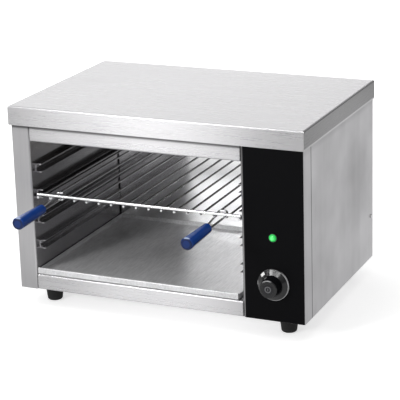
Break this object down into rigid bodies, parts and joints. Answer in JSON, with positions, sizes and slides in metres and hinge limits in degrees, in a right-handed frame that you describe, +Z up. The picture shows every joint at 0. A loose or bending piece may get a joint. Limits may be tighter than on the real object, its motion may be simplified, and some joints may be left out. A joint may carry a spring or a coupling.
{
  "type": "cheese melter",
  "caption": "Open-fronted electric counter-top grill in folded steel: sliding wire rack with two handled grips, pull-out crumb tray, thermostat knob and pilot lamp.",
  "frame": {"origin": "on the surface the feet stand on, under the middle of the whole outline, from the grips' front ends to the cable gland's dome", "axes": "+X to the right seen from the front, +Y to the back, +Z up"},
  "size_m": [0.58, 0.541, 0.39],
  "materials": {
    "steel_outer": "fine brushed stainless sheet, grain along the length of each panel",
    "steel_inner": "bright rolled stainless sheet, a little duller than the outside",
    "overlay_black": "glossy black panel overlay, unprinted",
    "chrome_wire": "bright chromed wire",
    "grip_blue": "satin dark blue moulding",
    "heater_tube": "heat-darkened stainless tube",
    "bracket_steel": "zinc plated or stainless small parts",
    "brass": "turned brass",
    "ceramic": "unglazed steatite",
    "insulation": "white ceramic-fibre blanket",
    "knob_black": "black phenolic moulding with a soft gloss",
    "knob_cap": "dark grey inlay with a plain ring and bar",
    "pointer_white": "white inlay",
    "thermostat_white": "off-white ceramic housing",
    "lens_green": "glossy green lens, lit from behind",
    "lamp_black": "black moulded lamp body",
    "gland_black": "black polyamide",
    "lead_black": "black silicone-covered leads",
    "rubber_black": "matt black rubber"
  },
  "bodies": {
    "cabinet": {"lid": "steel_outer", "left_side_panel": "steel_outer", "right_side_panel": "steel_outer", "rear_panel": "steel_outer", "base_plate": "steel_outer", "front_fascia": "steel_outer", "control_panel": "steel_outer", "control_overlay": "overlay_black", "liner_left": "steel_inner", "liner_right": "steel_inner", "liner_back": "steel_inner", "runners_left": "steel_inner", "runners_right": "steel_inner", "reflector": "steel_inner", "tray_shelf": "steel_inner", "top_insulation": "insulation", "heat_shield": "steel_inner", "heating_element_front": "heater_tube", "heating_element_rear": "heater_tube", "element_hangers": "bracket_steel", "element_bushes": "brass", "terminal_insulators": "ceramic", "terminal_studs": "bracket_steel", "thermostat_body": "thermostat_white", "thermostat_bush": "brass", "thermostat_screws": "bracket_steel", "sensing_bulb": "brass", "bulb_clips": "bracket_steel", "lamp_lens": "lens_green", "lamp_body": "lamp_black", "lamp_nut": "lamp_black", "terminal_block": "thermostat_white", "terminal_clamps": "brass", "wiring": "lead_black", "cable_gland": "gland_black", "gland_nut": "gland_black", "bonding_stud": "brass", "bonding_nuts": "bracket_steel", "foot_front_left": "rubber_black", "foot_front_right": "rubber_black", "foot_rear_left": "rubber_black", "foot_rear_right": "rubber_black", "foot_studs": "bracket_steel", "foot_nuts": "bracket_steel", "lid_screws": "bracket_steel", "side_screws": "bracket_steel", "rear_screws": "bracket_steel"},
    "rack": {"wire_rack": "chrome_wire", "handle_left": "chrome_wire", "handle_right": "chrome_wire", "grip_left": "grip_blue", "grip_right": "grip_blue"},
    "tray": {"crumb_tray": "steel_outer"},
    "knob": {"knob": "knob_black", "knob_cap": "knob_cap", "knob_pointer": "pointer_white", "thermostat_shaft": "bracket_steel"}
  },
  "joints": [
    {"name": "rack_slide", "type": "slide", "parent": "cabinet", "child": "rack", "axis": [0, -1, 0], "range_m": [0, 0.3]},
    {"name": "tray_slide", "type": "slide", "parent": "cabinet", "child": "tray", "axis": [0, -1, 0], "range_m": [0, 0.32]},
    {"name": "knob_turn", "type": "hinge", "parent": "cabinet", "child": "knob", "pos_m": [0.22925, -0.1363, 0.104], "axis": [0, 1, 0], "range_deg": [0, 270]}
  ]
}
